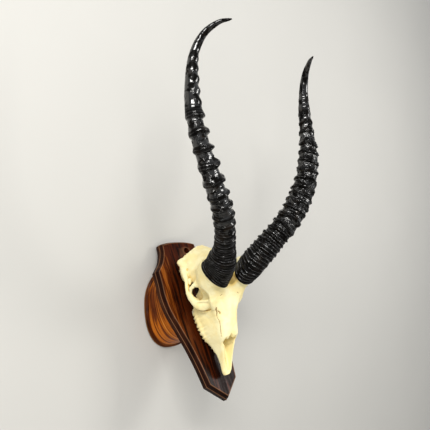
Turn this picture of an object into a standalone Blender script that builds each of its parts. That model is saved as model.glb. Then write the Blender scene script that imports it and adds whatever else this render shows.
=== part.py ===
# Gazelle skull with both horns, mounted on a tilted shield board with a wedge block behind it.
#
# Frame: origin at the middle of the block's wall face, +Y into the wall, +X to the viewer's right, +Z up.
# The board, skull, teeth and horns are modelled on the board: x across it, the second number up along it,
# the third number out from its front face.  An empty carries that slanted frame into the world.
# Sizes below are in millimetres, and MM turns them into metres.

import math

import bmesh
import bpy
from mathutils import Matrix, Vector

MM = 0.001
GAP = 0.3                      # clearance between touching pieces

# Board
BOARD_TILT = math.radians(27.4)      # lower end stands out from the wall
BOARD_TIP = (0.0, -172.0, -160.0)    # lowest point of the board's front plane, in the world
BOARD_THICKNESS = 18.0
BOARD_CORNER = (39.4, 33.0)
BOARD_SHOULDER = (78.5, 272.0)
BOARD_TOP_CORNER = (46.0, 331.0)
BOARD_TOP = 342.0
BOARD_SIDE = [
    (45.5, 70.0), (54.8, 110.0), (66.5, 148.0), (78.0, 186.0), (81.5, 218.0), (79.5, 246.0)]
BOARD_NECK = [(61.5, 291.0), (51.0, 312.0)]
MOULDING_STEP = (1.6, 8.5)           # inset and depth of the small step
MOULDING_COVE = (3.4, 3.0)
MOULDING_WIDTH = 5.2
HOLE_CENTRE = (17.5, 313.5)
HOLE_RADIUS = 3.2
COUNTERSINK_RADIUS = 8.0
COUNTERSINK_DEPTH = 5.0

# Wedge block
WEDGE_HALF_WIDTH = 71.5
WEDGE_MIDDLE = 14.0                  # height of the widest place above the origin
WEDGE_UP = 70.0
WEDGE_DOWN = 100.5
WEDGE_RISE = 0.40                    # how much the block climbs on its way out from the wall
WEDGE_POINTS = 48
LIP_WIDTH = 4.6                      # wider lip against the wall
LIP_DEPTH = 9.0

# Skull: the nose end lies this far up the board
NOSE_START = 39.1
SKULL_VOXEL = 1.9
SKULL_SHARE = 0.046              # faces kept when the relaxed skull is thinned

# Skull sections, (along, top, bottom, half width at the top, half width at the bottom)
FACE_SECTIONS = [
    (60, 55, 9, 20, 16), (67, 61, 8, 22.5, 18.5), (75, 64, 7, 23.5, 22), (90, 70, 6, 24.5, 27.5),
    (110, 76.5, 6, 27.5, 31), (125, 83, 6.5, 32, 32), (138, 89, 9, 36, 28), (147, 93, 26, 38, 18),
    (158, 96, 45, 38, 20), (166, 98, 55, 38, 24)]
NOSE_SECTIONS = [
    (4, 18, 11.5, 8, 8.5), (10, 22, 13, 11, 11.5), (26, 30, 16.5, 12.5, 12.5), (44, 41, 17.5, 15, 14.5),
    (64, 53, 15, 18, 17)]
BROW_SECTIONS = [
    (100, 69, 58, 22, 23), (114, 77.5, 60, 27, 29), (126, 83, 63, 34, 34), (138, 89, 66, 41.5, 40),
    (150, 94, 70, 47, 45), (162, 97, 72, 50, 47), (172, 93, 70, 48, 44)]
BASE_SECTIONS = [
    (143, 62, 26, 25, 10), (165, 62, 25, 29, 9), (185, 60, 22, 32, 12), (200, 50, 18, 33, 20),
    (226, 48, 18, 34, 22), (246, 50, 20, 27, 14)]
NOSE_HOLLOW_SECTIONS = [
    (-12, 75, 16, 9, 4), (7, 75, 16.5, 9, 6.5), (24, 75, 19.5, 10, 8.5), (44, 75, 21, 11.5, 11),
    (65, 75, 19.5, 14, 13)]
NOSE_DEPTH_SECTIONS = [(64, 50, 19, 15.5, 14), (90, 62, 20, 18, 18), (112, 68, 26, 18, 16)]
PALATE_SECTIONS = [(56, 12, -8, 8, 8), (84, 13, -8, 9, 9), (112, 14, -8, 12, 12), (152, 16, -8, 13, 13)]

# Skull bars on the right side, rows of (x, along, out, radius)
NAPE_RIDGE = [(0, 255, 62, 5), (16, 252.5, 59, 5), (30, 246, 50, 5), (38.5, 240, 40, 5), (40, 237, 31, 6)]
EAR_BAR = [(40, 237, 31, 6), (37, 225, 35, 9), (36, 211, 29, 9), (43, 202, 36, 6.5)]
HORN_SEAT = [(24, 160, 78, 22), (36, 169, 92, 23), (42, 173, 112, 23)]
BROW_RIM = [
    (36, 127, 74, 4.5), (40, 133, 79, 4.5), (44.5, 146, 85, 4.5), (48, 157, 86, 5), (48, 167, 80, 6)]
CHEEK_BAR = [
    (35, 131, 43, 9.5), (43, 145, 42, 9.3), (49.5, 160, 40, 7), (53, 174, 43.5, 5.8), (49, 190, 46, 5.8),
    (44, 202, 37.5, 6), (38, 212, 31, 7)]
JAW_BAR = [
    (15.5, 75, 13, 6), (18.5, 84, 12.5, 7), (21.8, 98, 12.5, 7.5), (23.5, 115, 12.5, 7.5),
    (23.5, 132, 13, 7.5), (22, 141, 15, 7)]
EYE_BAR = [(48, 167, 80, 6), (52.5, 173.5, 62, 5.6), (53, 175, 44, 5.6)]
REAR_SPUR = [(33, 238, 28, 7), (28, 241, 13, 5), (26, 242, 3.8, 4)]
MIDDLE_NOTCH = [(0, 226, 34, 7.5), (0, 272, 36, 10)]

# Skull balls, (centre), (radii), pitch, yaw; those off the middle are made on both sides
SKULL_BALLS = [
    ((0, 205, 59), (35.5, 51, 36), -12, 0), ((0, 167, 74), (46, 32, 25), 8, 0),
    ((0, 236, 46), (38, 19, 27), -20, 0), ((34, 138, 48), (12, 17, 19), 0, -18),
    ((34, 201, 31), (10, 10, 9), 0, 0), ((33, 208, 44), (7, 22, 16), 0, 0),
    ((22, 212, 15), (9, 14, 10.5), 10, 0), ((14, 250, 27), (9.5, 9, 13), 20, 0)]
HOLLOW_BALLS = [((50, 151, 66), (29, 18, 24), 30, -24), ((45, 188, 52), (6.5, 10, 17), 0, -8)]

# Horns: path of the right horn from the middle of its foot, (x, along, out)
HORN_PATH = [
    (43.0, 173.5, 105.2), (48.0, 180.0, 136.0), (63.4, 202.2, 178.0), (96.2, 237.5, 229.4),
    (131.2, 289.2, 264.7), (151.0, 337.4, 285.4), (159.5, 385.0, 300.8), (159.1, 428.9, 317.2),
    (155.7, 468.7, 337.6), (146.6, 493.7, 361.8), (132.4, 501.4, 387.9), (117.7, 496.8, 406.6)]
HORN_SEAT_NORMAL = (0.05, 0.2, 0.97)
HORN_LONG_AXIS = (0.45, 0.89, -0.2)
HORN_HALF_WIDTHS = [             # share of the length, half width to the side, half width forward
    (0.00, 27.5, 23.0), (0.05, 24.5, 23.2), (0.16, 22.0, 23.5), (0.30, 18.8, 21.5), (0.44, 16.5, 20.5),
    (0.55, 15.2, 19.6), (0.62, 14.2, 16.4), (0.69, 12.6, 13.4), (0.75, 10.8, 11.4), (0.81, 8.4, 9.6),
    (0.87, 6.2, 7.6), (0.92, 4.4, 5.4), (0.96, 2.8, 3.4), (0.99, 1.7, 1.9), (1.00, 1.0, 1.0)]
HORN_SIDES = 16
RING_ZONE = (0.02, 0.72)         # share of the length that bears growth rings
RING_SPACING = (8.0, 25.0)       # at the foot and at the end of the zone
RING_DEPTH = 3.4
RING_TURN = 0.6                  # turns the deep side of the rings to the front

# Teeth: three premolars and three molars on each side, (length along the jaw, width, lobes)
TOOTH_SIZES = [
    (8.0, 7.0, 1), (8.5, 8.0, 1), (8.5, 9.0, 1), (11.0, 10.5, 2), (12.5, 11.0, 2), (12.0, 10.5, 2)]
TOOTH_ROW_START = 79.0
TOOTH_ROW_FRONT = 14.5           # half spread of the rows at the front and at the back
TOOTH_ROW_BACK = 20.5
TOOTH_TIP = 0.3
TOOTH_ROOT = 12.0
SOCKET_FLOOR = TOOTH_ROOT + GAP

BONE = ("bone", (0.83, 0.76, 0.58), 0.55)
ENAMEL = ("enamel", (0.80, 0.74, 0.60), 0.35)
HORN = ("horn", (0.012, 0.010, 0.009), 0.35)
BOARD_WOOD = ("board_wood", (0.115, 0.030, 0.012), 0.28)
WEDGE_WOOD = ("wedge_wood", (0.270, 0.085, 0.020), 0.30)


def clear_scene():
    for obj in list(bpy.data.objects):
        bpy.data.objects.remove(obj)


def make_material(spec):
    name, colour, roughness = spec
    material = bpy.data.materials.get(name) or bpy.data.materials.new(name)
    material.use_nodes = True
    shader = material.node_tree.nodes["Principled BSDF"]
    shader.inputs["Base Color"].default_value = (*colour, 1.0)
    shader.inputs["Roughness"].default_value = roughness
    shader.inputs["Metallic"].default_value = 0.0
    return material


def on_board(x, along, out):
    """Skull measure to the board's own frame, in metres."""
    return Vector((x, along + NOSE_START, out)) * MM


def mix(a, b, t):
    return a + (b - a) * t


def smooth_step(t):
    t = min(max(t, 0.0), 1.0)
    return t * t * (3.0 - 2.0 * t)


def read_table(table, t):
    """Straight line between the rows of a table whose first column rises."""
    for low, high in zip(table, table[1:]):
        if t <= high[0]:
            share = (t - low[0]) / (high[0] - low[0])
            return [mix(a, b, share) for a, b in zip(low[1:], high[1:])]
    return list(table[-1][1:])


def curve_point(points, t):
    """Catmull-Rom curve through the points, with t from 0 to 1."""
    spans = len(points) - 1
    index = min(int(t * spans), spans - 1)
    share = t * spans - index
    p1, p2 = points[index], points[index + 1]
    p0 = points[index - 1] if index > 0 else p1 * 2.0 - p2
    p3 = points[index + 2] if index + 2 < len(points) else p2 * 2.0 - p1
    return (
        p1 * 2.0
        + (p2 - p0) * share
        + (p0 * 2.0 - p1 * 5.0 + p2 * 4.0 - p3) * share ** 2
        + (p1 * 3.0 - p0 - p2 * 3.0 + p3) * share ** 3
    ) * 0.5


def turned(radius, share):
    """Point on a flat circle at a share of its turn."""
    return Vector((math.cos(math.tau * share), math.sin(math.tau * share), 0.0)) * radius


def add_ring(bm, points):
    return [bm.verts.new(p) for p in points]


def bridge(bm, rings):
    """Join neighbouring rings with quads and close both ends."""
    for first, second in zip(rings, rings[1:]):
        count = len(first)
        for i in range(count):
            j = (i + 1) % count
            bm.faces.new((first[i], first[j], second[j], second[i]))
    bm.faces.new(reversed(rings[0]))
    bm.faces.new(rings[-1])


def new_object(name, bm, spec, parent, smooth_angle=35.0):
    """Mesh object with its faces turned outwards."""
    bmesh.ops.recalc_face_normals(bm, faces=bm.faces)
    mesh = bpy.data.meshes.new(name)
    bm.to_mesh(mesh)
    bm.free()
    mesh.shade_smooth()
    mesh.set_sharp_from_angle(angle=math.radians(smooth_angle))
    if spec:
        mesh.materials.append(make_material(spec))
    obj = bpy.data.objects.new(name, mesh)
    bpy.context.scene.collection.objects.link(obj)
    obj.parent = parent
    return obj


def as_cutter(obj):
    obj.hide_render = True
    obj.display_type = "WIRE"
    return obj


def add_boolean(obj, cutter, operation="DIFFERENCE"):
    modifier = obj.modifiers.new(cutter.name, "BOOLEAN")
    modifier.operation = operation
    modifier.object = cutter
    modifier.solver = "EXACT"
    return modifier


# Board


def board_half_outline():
    """Right half of the shield, from the tip to the middle of the top."""
    points = [Vector((0.0, 0.0)), Vector(BOARD_CORNER)]
    side = [Vector(p) for p in [BOARD_CORNER] + BOARD_SIDE + [BOARD_SHOULDER]]
    points += [curve_point(side, i / 21) for i in range(1, 22)]
    neck = [Vector(p) for p in [BOARD_SHOULDER] + BOARD_NECK + [BOARD_TOP_CORNER]]
    points += [curve_point(neck, i / 8) for i in range(1, 9)]
    corner_x, corner_up = BOARD_TOP_CORNER
    for i in range(1, 8):
        share = 1.0 - i / 7
        points.append(Vector((corner_x * share, mix(BOARD_TOP, corner_up, share ** 2.6))))
    return points


def mirrored(half):
    """Whole outline, anticlockwise, from a right half that starts and ends on the middle line."""
    return half + [Vector((-p.x, p.y)) for p in reversed(half[1:-1])]


def inset_outline(points, distance):
    """Move each point inwards so that every edge moves by the same distance."""
    moved = []
    count = len(points)
    for i, point in enumerate(points):
        before = (point - points[i - 1]).normalized()
        after = (points[(i + 1) % count] - point).normalized()
        normal_a = Vector((-before.y, before.x))
        normal_b = Vector((-after.y, after.x))
        corner = normal_a + normal_b
        moved.append(point + corner * (2.0 * distance / corner.length_squared))
    return moved


def make_board(frame):
    outline = mirrored(board_half_outline())
    layers = [
        (0.0, -BOARD_THICKNESS), (0.0, -MOULDING_STEP[1]), (MOULDING_STEP[0], -MOULDING_STEP[1] + 0.4),
        (MOULDING_COVE[0], -MOULDING_COVE[1]), (MOULDING_WIDTH, 0.0)]
    bm = bmesh.new()
    rings = []
    for inset, out in layers:
        ring = inset_outline(outline, inset) if inset else outline
        rings.append(add_ring(bm, [Vector((p.x, p.y, out)) * MM for p in ring]))
    bridge(bm, rings)
    board = new_object("shield_board", bm, BOARD_WOOD, frame)
    add_boolean(board, make_hole_cutter(frame))
    return board


def make_hole_cutter(frame):
    """Countersunk screw hole through the board."""
    profile = [
        (HOLE_RADIUS, -BOARD_THICKNESS - 5.0), (HOLE_RADIUS, -COUNTERSINK_DEPTH),
        (COUNTERSINK_RADIUS, 0.0), (COUNTERSINK_RADIUS, 5.0)]
    bm = bmesh.new()
    rings = []
    for radius, out in profile:
        centre = Vector((*HOLE_CENTRE, out))
        rings.append(add_ring(bm, [(centre + turned(radius, i / 16)) * MM for i in range(16)]))
    bridge(bm, rings)
    return as_cutter(new_object("screw_hole_cutter", bm, None, frame))


# Wedge block


def wedge_outline(grow):
    """Egg shape in the wall plane, blunt end up."""
    points = []
    for i in range(WEDGE_POINTS):
        a = math.tau * i / WEDGE_POINTS
        reach = WEDGE_UP if math.sin(a) > 0.0 else WEDGE_DOWN
        points.append(Vector((
            (WEDGE_HALF_WIDTH + grow) * math.cos(a), WEDGE_MIDDLE + (reach + grow) * math.sin(a))))
    return points


def make_wedge():
    """Block between the wall and the back of the board, with a wider lip against the wall."""
    normal = board_normal()
    board_back = Vector(BOARD_TIP) - normal * (BOARD_THICKNESS + GAP)
    layers = [
        (LIP_WIDTH, 0.0), (LIP_WIDTH, -LIP_DEPTH * 0.5), (LIP_WIDTH * 0.4, -LIP_DEPTH * 0.8),
        (0.0, -LIP_DEPTH)]
    bm = bmesh.new()
    rings = []
    for grow, depth in layers:
        rings.append(add_ring(bm, [
            Vector((p.x, depth, p.y - depth * WEDGE_RISE)) * MM for p in wedge_outline(grow)]))
    climb = Vector((0.0, -1.0, WEDGE_RISE))
    front = []
    for point in wedge_outline(0.0):
        foot = Vector((point.x, 0.0, point.y))
        front.append((foot + climb * ((board_back - foot).dot(normal) / climb.dot(normal))) * MM)
    rings.append(add_ring(bm, front))
    bridge(bm, rings)
    return new_object("wedge_block", bm, WEDGE_WOOD, None)


def board_normal():
    return Vector((0.0, -math.cos(BOARD_TILT), math.sin(BOARD_TILT)))


# Skull


def loft_body(bm, stations, sides=20, squareness=3.2):
    """Closed body from rows of along, top, bottom, half width at the top and at the bottom."""
    rings = []
    for along, top, bottom, wide_top, wide_bottom in stations:
        points = []
        for i in range(sides):
            a = math.tau * i / sides
            c = math.copysign(abs(math.cos(a)) ** (2.0 / squareness), math.cos(a))
            s = math.copysign(abs(math.sin(a)) ** (2.0 / squareness), math.sin(a))
            wide = mix(wide_bottom, wide_top, (1.0 + s) / 2.0)
            points.append(on_board(c * wide, along, mix(bottom, top, (1.0 + s) / 2.0)))
        rings.append(add_ring(bm, points))
    bridge(bm, rings)


def ball_body(bm, centre, radii, pitch, yaw, sides=24):
    """Stretched ball, tipped by pitch about the x axis and turned by yaw about the outward axis."""
    turn = Matrix.Rotation(math.radians(pitch), 4, "X") @ Matrix.Rotation(math.radians(yaw), 4, "Z")
    stretch = Matrix.Diagonal((*[r * MM for r in radii], 1.0))
    place = Matrix.Translation(on_board(*centre)) @ turn @ stretch
    bmesh.ops.create_uvsphere(bm, u_segments=sides, v_segments=sides // 2, radius=1.0, matrix=place)


def rod_body(bm, points, sides=12):
    """Round bar through rows of (x, along, out, radius), with domed ends."""
    spots = [on_board(*row[:3]) for row in points]
    radii = [row[3] * MM for row in points]
    rings = []
    for i, spot in enumerate(spots):
        ahead = spots[min(i + 1, len(spots) - 1)] - spots[max(i - 1, 0)]
        turn = ahead.to_track_quat("Z", "X")
        rings.append(add_ring(bm, [spot + turn @ turned(radii[i], k / sides) for k in range(sides)]))
    bridge(bm, rings)
    for end in (0, -1):
        place = Matrix.Translation(spots[end]) @ Matrix.Scale(radii[end] * 0.98, 4)
        bmesh.ops.create_uvsphere(bm, u_segments=sides, v_segments=sides // 2, radius=1.0, matrix=place)


def both_sides(rows):
    """The rows and their mirror images."""
    return [rows, [(-row[0], *row[1:]) for row in rows]]


def both_balls(bm, balls):
    for centre, radii, pitch, yaw in balls:
        for side in (1, -1) if centre[0] else (1,):
            ball_body(bm, (centre[0] * side, *centre[1:]), radii, pitch, yaw * side)


def skull_bodies(bm):
    """Overlapping closed bodies whose union is the whole skull."""
    for sections in (FACE_SECTIONS, NOSE_SECTIONS):
        loft_body(bm, sections, squareness=4.2)
    for sections in (BROW_SECTIONS, BASE_SECTIONS):
        loft_body(bm, sections)
    both_balls(bm, SKULL_BALLS)
    for bar in (NAPE_RIDGE, EAR_BAR, BROW_RIM, CHEEK_BAR, JAW_BAR, EYE_BAR, REAR_SPUR):
        for rows in both_sides(bar):
            rod_body(bm, rows)
    for rows in both_sides(HORN_SEAT):
        rod_body(bm, rows, sides=20)


def skull_hollows(bm):
    """What is carved out: nose passage, palate, eye sockets, temples and the notch at the rear."""
    for sections in (NOSE_HOLLOW_SECTIONS, NOSE_DEPTH_SECTIONS, PALATE_SECTIONS):
        loft_body(bm, sections, squareness=4.2)
    both_balls(bm, HOLLOW_BALLS)
    rod_body(bm, MIDDLE_NOTCH)


def add_remesh(obj, relax):
    """Even mesh over the whole body, then relaxed."""
    remesh = obj.modifiers.new("even_mesh", "REMESH")
    remesh.mode = "VOXEL"
    remesh.voxel_size = SKULL_VOXEL * MM
    smooth = obj.modifiers.new("relax", "SMOOTH")
    smooth.factor = 0.5
    smooth.iterations = relax


def union_mesh(name, build, frame):
    """One closed mesh from overlapping bodies."""
    bm = bmesh.new()
    build(bm)
    obj = new_object(name, bm, BONE, frame)
    add_remesh(obj, 2)
    return obj


def slab_cutter(name, corners_low, corners_high, frame):
    """Box between two corners given in skull measures."""
    low, high = on_board(*corners_low), on_board(*corners_high)
    bm = bmesh.new()
    size = Matrix.Diagonal((*(high - low), 1.0))
    bmesh.ops.create_cube(bm, size=1.0, matrix=Matrix.Translation((low + high) / 2.0) @ size)
    return as_cutter(new_object(name, bm, None, frame))


def tooth_places():
    """Start along the jaw, middle across and size of each tooth of the right row."""
    total = sum(size[0] for size in TOOTH_SIZES)
    start = TOOTH_ROW_START
    places = []
    for length, width, lobes in TOOTH_SIZES:
        share = (start + length / 2.0 - TOOTH_ROW_START) / total
        middle = mix(TOOTH_ROW_FRONT, TOOTH_ROW_BACK, math.sin(share * math.pi / 2.0))
        places.append((start, middle, length, width, lobes))
        start += length + GAP
    return places


def tooth_outline(length, width, lobes, grow=0.0):
    """Crown seen from below: one rounded lobe, or two with a waist between them."""
    points = []
    steps = 12 if lobes == 1 else 16
    for i in range(steps):
        a = math.tau * i / steps
        along = math.cos(a) * (length / 2.0 + grow)
        waist = 1.0 - (0.16 if lobes == 2 else 0.0) * math.exp(-(along / (length * 0.12)) ** 2)
        across = math.copysign(abs(math.sin(a)) ** 0.7, math.sin(a)) * (width / 2.0 + grow) * waist
        points.append((across, along))
    return points


def groove_bodies(bm):
    """One groove along each jaw, a little wider than the teeth that stand in it."""
    for side in (1, -1):
        outer, inner = [], []
        for start, middle, length, width, _ in tooth_places():
            for along in (start - GAP * 0.4, start + length + GAP * 0.4):
                outer.append((middle + width / 2.0 + GAP, along))
                inner.append((middle - width / 2.0 - GAP, along))
        outer[0], inner[0] = [(x, along - GAP) for x, along in (outer[0], inner[0])]
        outer[-1], inner[-1] = [(x, along + GAP) for x, along in (outer[-1], inner[-1])]
        outline = outer + inner[::-1]
        bridge(bm, [add_ring(bm, [on_board(side * x, along, out) for x, along in outline])
                    for out in (-5.0, SOCKET_FLOOR)])


def make_skull(frame):
    skull = union_mesh("skull", skull_bodies, frame)
    hollows = as_cutter(union_mesh("skull_hollows", skull_hollows, frame))
    add_boolean(skull, hollows)
    add_remesh(skull, 3)
    trim = skull.modifiers.new("fewer_faces", "DECIMATE")
    trim.ratio = SKULL_SHARE
    for side, name in ((1, "right"), (-1, "left")):
        add_boolean(skull, seat_cutter("seat_cutter_" + name, side, frame))
    add_boolean(skull, slab_cutter("board_clearance", (-90, -30, -30), (90, 300, GAP), frame))
    return skull


def horn_foot(side):
    """Middle of the horn's foot and the outward normal of its seat."""
    x, along, out = HORN_PATH[0]
    normal = Vector((HORN_SEAT_NORMAL[0] * side, *HORN_SEAT_NORMAL[1:])).normalized()
    return on_board(x * side, along, out), normal


def seat_cutter(name, side, frame):
    """Flat cut where the horn sits."""
    middle, normal = horn_foot(side)
    turn = normal.to_track_quat("Z", "Y").to_matrix().to_4x4()
    bm = bmesh.new()
    lift = Matrix.Translation(middle + normal * (40.0 - GAP) * MM)
    bmesh.ops.create_cube(bm, size=1.0, matrix=lift @ turn @ Matrix.Diagonal((0.075, 0.09, 0.08, 1.0)))
    return as_cutter(new_object(name, bm, None, frame))


# Horns


def path_table(points, steps=400):
    """Finely divided path, and the length from its start to each place on it."""
    spots = [curve_point(points, i / steps) for i in range(steps + 1)]
    lengths = [0.0]
    for before, after in zip(spots, spots[1:]):
        lengths.append(lengths[-1] + (after - before).length)
    return spots, lengths


def along_path(table, share):
    """Place and direction at a share of the path's length."""
    spots, lengths = table
    target = share * lengths[-1]
    index = max(i for i in range(len(lengths) - 1) if lengths[i] <= target + 1e-9)
    ahead = spots[index + 1] - spots[index]
    return spots[index] + ahead * ((target - lengths[index]) / ahead.length), ahead.normalized()


def ring_count(length):
    """Number of rings when their spacing grows evenly from the foot to the end of the zone."""
    first, last = RING_SPACING
    return length * math.log(last / first) / (last - first)


def ring_phase(share, count):
    """Rings passed at a share of the zone."""
    growth = RING_SPACING[1] / RING_SPACING[0]
    return count * math.log(1.0 + (growth - 1.0) * share) / math.log(growth)


def ring_share(phase, count):
    """Share of the zone at which that many rings are passed."""
    growth = RING_SPACING[1] / RING_SPACING[0]
    return (growth ** (phase / count) - 1.0) / (growth - 1.0)


def hollow_depth(t, count):
    """Depth of the hollows between the rings, which are shallow at both ends of the zone."""
    share = (t - RING_ZONE[0]) / (RING_ZONE[1] - RING_ZONE[0])
    if not 0.0 < share < 1.0:
        return 0.0
    wave = 0.5 - 0.5 * math.cos(math.tau * ring_phase(share, count))
    return wave * RING_DEPTH * smooth_step(0.25 + share * 2.5) * smooth_step((1.0 - share) * 9.0)


def horn_stations(count):
    """A crest and a hollow for every ring, then the smooth tip."""
    start, end = RING_ZONE
    stations = [0.0]
    stations += [mix(start, end, ring_share(k / 2, count)) for k in range(int(2 * count) + 1)]
    stations += [mix(end, 1.0, k / 10) for k in range(1, 11)]
    return stations


def make_horn(name, side, frame):
    table = path_table([on_board(p[0] * side, p[1], p[2]) for p in HORN_PATH])
    count = ring_count((RING_ZONE[1] - RING_ZONE[0]) * table[1][-1] / MM)
    _, seat = horn_foot(side)
    long_axis = Vector((HORN_LONG_AXIS[0] * side, *HORN_LONG_AXIS[1:]))
    last = seat
    bm = bmesh.new()
    rings = []
    for t in horn_stations(count):
        spot, ahead = along_path(table, t)
        normal = seat.lerp(ahead, smooth_step(t / 0.12)).normalized()
        long_axis = last.rotation_difference(normal) @ long_axis
        long_axis = (long_axis - normal * long_axis.dot(normal)).normalized()
        last = normal
        cross = normal.cross(long_axis) * side
        wide, deep = read_table(HORN_HALF_WIDTHS, t)
        points = []
        for i in range(HORN_SIDES):
            a = math.tau * i / HORN_SIDES
            cut = hollow_depth(t, count) * (0.55 - 0.45 * math.cos(a + RING_TURN))
            points.append(spot + (
                long_axis * math.cos(a) * (wide - cut) + cross * math.sin(a) * (deep - cut)) * MM)
        rings.append(add_ring(bm, points))
    bridge(bm, rings)
    return new_object(name, bm, HORN, frame, smooth_angle=60.0)


# Teeth


def make_tooth(name, side, place, frame):
    start, middle, length, width, lobes = place
    rings = []
    bm = bmesh.new()
    for out, shrink in ((TOOTH_ROOT, 0.0), (4.0, 0.0), (1.2, 0.5), (TOOTH_TIP, 1.6)):
        rings.append(add_ring(bm, [
            on_board(side * (middle + across), start + length / 2.0 + along, out)
            for across, along in tooth_outline(length, width, lobes, -shrink)]))
    bridge(bm, rings)
    return new_object(name, bm, ENAMEL, frame)


def make_teeth(skull, frame):
    bm = bmesh.new()
    groove_bodies(bm)
    add_boolean(skull, as_cutter(new_object("tooth_groove_cutter", bm, None, frame)))
    for side, word in ((1, "right"), (-1, "left")):
        for number, place in enumerate(tooth_places(), start=1):
            make_tooth(f"upper_tooth_{word}_{number}", side, place, frame)


def main():
    clear_scene()
    frame = bpy.data.objects.new("board_frame", None)
    bpy.context.scene.collection.objects.link(frame)
    frame.location = Vector(BOARD_TIP) * MM
    frame.rotation_euler = (math.pi / 2.0 - BOARD_TILT, 0.0, 0.0)
    make_wedge()
    make_board(frame)
    skull = make_skull(frame)
    make_teeth(skull, frame)
    make_horn("horn_right", 1, frame)
    make_horn("horn_left", -1, frame)


main()
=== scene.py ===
import math
import bpy
import numpy as np
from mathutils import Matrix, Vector


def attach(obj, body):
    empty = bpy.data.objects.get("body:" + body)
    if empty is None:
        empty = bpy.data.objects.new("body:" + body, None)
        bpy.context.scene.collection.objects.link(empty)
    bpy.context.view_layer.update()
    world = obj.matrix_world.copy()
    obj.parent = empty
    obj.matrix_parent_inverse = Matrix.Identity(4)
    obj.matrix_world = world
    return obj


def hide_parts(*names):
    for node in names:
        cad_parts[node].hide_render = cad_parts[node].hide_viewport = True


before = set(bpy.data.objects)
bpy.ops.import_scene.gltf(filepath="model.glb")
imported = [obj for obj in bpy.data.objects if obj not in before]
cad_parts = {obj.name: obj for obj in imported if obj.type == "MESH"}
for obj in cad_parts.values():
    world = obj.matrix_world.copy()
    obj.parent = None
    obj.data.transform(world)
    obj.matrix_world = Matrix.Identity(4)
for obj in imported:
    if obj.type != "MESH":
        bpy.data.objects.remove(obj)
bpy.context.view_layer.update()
print("frame loaded")

# The board's own measures are (across, along from its tip, out of its face) in millimetres
boardTilt = math.radians(27.4)
boardTip = np.array((0, -172.0, -160.0))
boardAxes = np.array((
    (1, 0, 0),
    (0, math.sin(boardTilt), math.cos(boardTilt)),
    (0, -math.cos(boardTilt), math.sin(boardTilt))))
noseStart = 39.1  # the skull's lengths start this far up the board


def offBoard(p):  # board measures to the frame, in metres
    return (boardTip + p @ boardAxes) / 1000


# Shapes worked out as whole arrays


def easeStep(t):  # 0 to 1 with flat ends: three squares less two cubes
    t = np.clip(t, 0, 1)
    return t * t * (3 - 2 * t)


def easeBetween(low, high, value):
    return easeStep((value - low) / (high - low))


def within(bands, *values):  # product of each value's easing over its own band
    return math.prod(easeBetween(*band, value) for band, value in zip(bands, values))


def unit(v):  # made length 1
    return v / np.linalg.norm(v, axis=-1, keepdims=True)


def hill(value, middle, width):  # 1 at the middle, falling off as the exponential of the squared distance
    return np.exp(-((value - middle) / width) ** 2)


def readTable(value, rows):  # straight lines between rows of (place, number)
    return np.interp(value, *np.array(rows).T)


def curveThrough(stops, count):
    # curve through the stops, each span a cubic whose slopes are half the step between the stops beside it
    stops = np.array(stops, float)
    padded = np.concatenate([2 * stops[:1] - stops[1:2], stops, 2 * stops[-1:] - stops[-2:-1]])
    place = np.linspace(0, len(stops) - 1, count)
    span = np.minimum(place.astype(int), len(stops) - 2)
    t = (place - span)[:, None]
    a, b, c, d = (padded[span + k] for k in range(4))
    return (2 * b + (c - a) * t + (2 * a - 5 * b + 4 * c - d) * t ** 2 + (3 * b - a - 3 * c + d) * t ** 3) / 2


def lumps(p, size, seed=0):
    # smooth noise from -1 to 1: scrambled values at the corners of a lattice, blended by easeStep
    q = p / size
    low = np.floor(q).astype(np.int64)
    share = easeStep(q - low)
    total = np.zeros(p.shape[:-1])
    for corner in np.ndindex(2, 2, 2):
        at = low + corner
        key = (at[..., 0] * 73856093) ^ (at[..., 1] * 19349663) ^ (at[..., 2] * 83492791 + seed * 2654435)
        key = (key & 0x7FFFFFFF) * 1103515245 + 12345 & 0x7FFFFFFF
        key = (key ^ (key >> 13)) * 1274126177 & 0x7FFFFFFF
        weight = np.prod(np.where(corner, share, 1 - share), axis=-1)
        total += weight * ((key >> 9 & 0xFFFF) / 32767.5 - 1)
    return total


def layeredLumps(p, size, layers=3, seed=0):  # lumps, and half as high ones of half the size, and so on
    return sum(lumps(p, size / 2 ** k, seed + k) / 2 ** k for k in range(layers))


def circle(count):  # that many angles round a circle
    return np.linspace(0, math.tau, count, endpoint=False)


def roundGrid(rows, joinEnds=False):
    # rows of points round a form, (row, place round it, xyz): neighbours become quads, each row closes on
    # itself, and the first and last row are joined to each other, or each to one point in its middle
    count, around = rows.shape[:2]
    i, j = np.meshgrid(np.arange(count if joinEnds else count - 1), np.arange(around), indexing="ij")
    after, beside = (i + 1) % count, (j + 1) % around
    quads = np.stack([
        i * around + j, i * around + beside, after * around + beside, after * around + j], -1).reshape(-1, 4)
    points = rows.reshape(-1, 3)
    if joinEnds:
        return points, quads, np.zeros((0, 3), int)
    j, beside = np.arange(around), (np.arange(around) + 1) % around
    last = (count - 1) * around
    caps = np.concatenate([
        np.stack([np.full(around, count * around), beside, j], -1),
        np.stack([np.full(around, count * around + 1), last + j, last + beside], -1)])
    return np.concatenate([points, [rows[0].mean(0), rows[-1].mean(0)]]), quads, caps


def pointNormals(points, quads):  # the faces' own cross products added up at each point, made length 1
    face = np.cross(points[quads[:, 2]] - points[quads[:, 0]], points[quads[:, 3]] - points[quads[:, 1]])
    total = np.stack([
        np.bincount(quads.ravel(), np.repeat(face[:, n], 4), len(points)) for n in range(3)], -1)
    return total / (np.linalg.norm(total, axis=1, keepdims=True) + 1e-9)


def addObject(name, data):
    thing = bpy.data.objects.new(name, data)
    bpy.context.scene.collection.objects.link(thing)
    return thing


def addMesh(name, points, faces, finish):
    mesh = bpy.data.meshes.new(name)
    mesh.from_pydata(points, [], faces)
    mesh.materials.append(finish)
    return addObject(name, mesh)


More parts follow.
